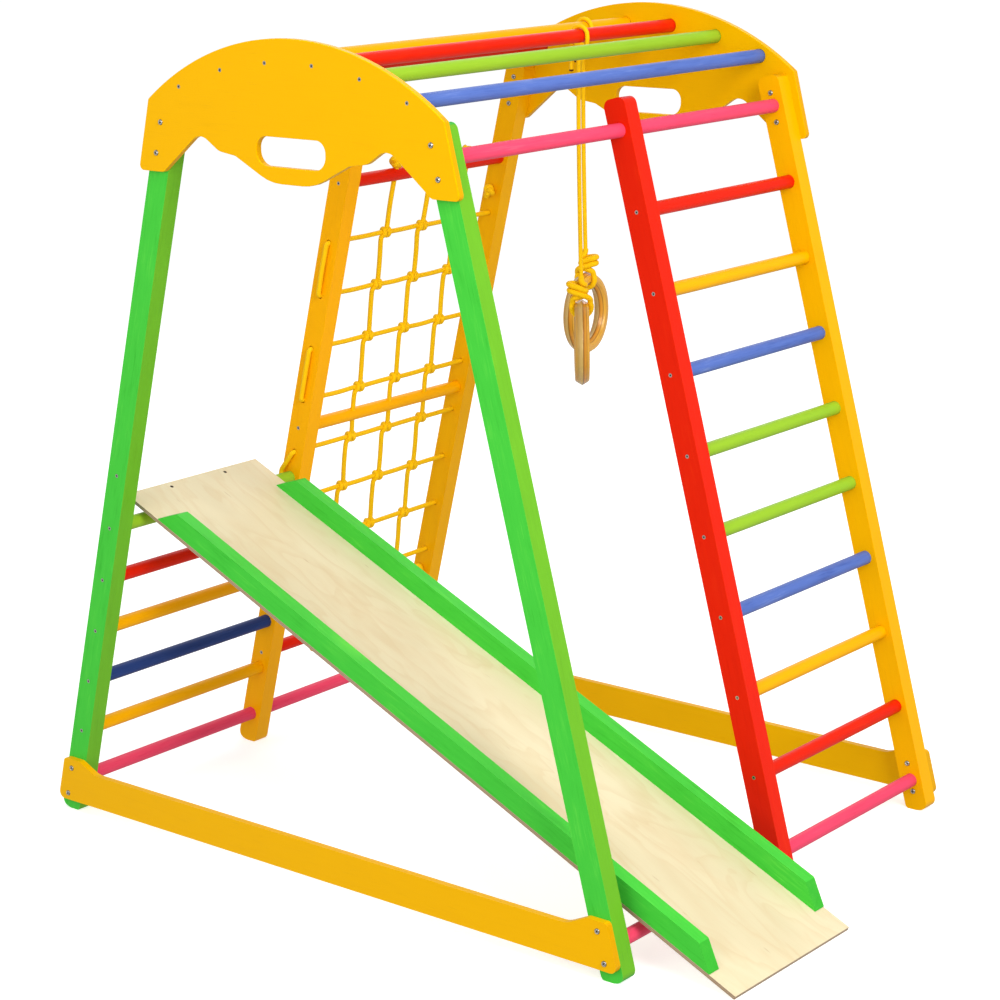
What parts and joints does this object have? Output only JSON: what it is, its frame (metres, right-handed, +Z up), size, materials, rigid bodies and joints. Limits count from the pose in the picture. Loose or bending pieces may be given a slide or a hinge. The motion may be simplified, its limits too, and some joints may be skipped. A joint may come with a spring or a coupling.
{
  "type": "toddler climbing gym with slide",
  "caption": "Wooden indoor climbing gym for toddlers: two A-frame ends, overhead bars, ladder wall, rung wall, rope net, hanging rings and a hook-on slide with side rails.",
  "frame": {"origin": "centre of the object's box on the floor", "axes": "+X across the A-frames towards the slide's foot, +Y from the near arch to the far arch, +Z up"},
  "size_m": [1.4701, 0.9908, 1.45],
  "materials": {
    "green_stain": "satin green stain with the grain showing",
    "yellow_stain": "satin yellow stain with the grain showing",
    "orange_stain": "satin orange stain with the grain showing",
    "red_stain": "satin red stain with the grain showing",
    "blue_stain": "satin blue stain with the grain showing",
    "pink_stain": "satin pink stain with the grain showing",
    "birch_ply": "satin clear varnish on birch plywood",
    "bare_wood": "satin clear varnish",
    "ring_wood": "gloss varnish on laminated birch",
    "rope": "braided yellow polypropylene rope",
    "steel": "zinc plated steel"
  },
  "bodies": {
    "frame": {"leg_near_left": "green_stain", "leg_near_right": "green_stain", "leg_far_left": "yellow_stain", "leg_far_right": "yellow_stain", "post_left": "orange_stain", "post_right": "red_stain", "arch_near": "yellow_stain", "arch_far": "yellow_stain", "base_rail_near": "yellow_stain", "base_rail_far": "yellow_stain", "overhead_bar_1": "red_stain", "overhead_bar_2": "blue_stain", "overhead_bar_3": "yellow_stain", "overhead_bar_4": "red_stain", "overhead_bar_5": "green_stain", "overhead_bar_6": "blue_stain", "ladder_rung_low": "pink_stain", "ladder_rung_high": "pink_stain", "ladder_rung_1": "red_stain", "ladder_rung_2": "yellow_stain", "ladder_rung_3": "blue_stain", "ladder_rung_4": "green_stain", "ladder_rung_5": "green_stain", "ladder_rung_6": "blue_stain", "ladder_rung_7": "yellow_stain", "ladder_rung_8": "red_stain", "wall_rung_low": "pink_stain", "wall_rung_1": "orange_stain", "wall_rung_2": "blue_stain", "wall_rung_3": "orange_stain", "wall_rung_4": "red_stain", "wall_rung_5": "green_stain", "net_rung_low": "red_stain", "net_rung_middle": "orange_stain", "net_rung_top": "red_stain", "net_lacing": "rope", "net_uprights": "rope", "frame_bolts": "steel", "sleeve_nuts": "steel", "ladder_screws": "steel", "wall_screws": "steel", "bar_screws": "steel"},
    "slide": {"slide_board": "birch_ply", "slide_side_near": "green_stain", "slide_side_far": "green_stain", "slide_hook_near": "bare_wood", "slide_hook_far": "bare_wood", "slide_screws": "steel"},
    "rope_near": {"ring_rope_near": "rope"},
    "knot_near": {"ring_knot_near": "rope"},
    "ring_near": {"ring_near": "ring_wood"},
    "rope_far": {"ring_rope_far": "rope"},
    "knot_far": {"ring_knot_far": "rope"},
    "ring_far": {"ring_far": "ring_wood"}
  },
  "joints": [
    {"name": "slide_tilt", "type": "hinge", "parent": "frame", "child": "slide", "pos_m": [-0.57252, -0.251, 0.56118], "axis": [0, -1, 0], "range_deg": [0, 30]},
    {"name": "rope_swing_near", "type": "hinge", "parent": "frame", "child": "rope_near", "pos_m": [-0.03229, 0.203, 1.409], "axis": [0, 1, 0], "range_deg": [-25, 25]},
    {"name": "rope_twist_near", "type": "hinge", "parent": "rope_near", "child": "knot_near", "pos_m": [-0.03229, 0.203, 0.95], "axis": [0, 0, 1], "range_deg": [-90, 90]},
    {"name": "ring_rock_near", "type": "hinge", "parent": "knot_near", "child": "ring_near", "pos_m": [-0.03229, 0.203, 0.917], "axis": [0.6293, -0.7771, 0], "range_deg": [-40, 40]},
    {"name": "rope_swing_far", "type": "hinge", "parent": "frame", "child": "rope_far", "pos_m": [-0.13629, 0.352, 1.409], "axis": [0, 1, 0], "range_deg": [-25, 25]},
    {"name": "rope_twist_far", "type": "hinge", "parent": "rope_far", "child": "knot_far", "pos_m": [-0.13629, 0.352, 0.971], "axis": [0, 0, 1], "range_deg": [-90, 90]},
    {"name": "ring_rock_far", "type": "hinge", "parent": "knot_far", "child": "ring_far", "pos_m": [-0.13629, 0.352, 0.938], "axis": [0.1908, -0.9816, 0], "range_deg": [-40, 40]}
  ]
}
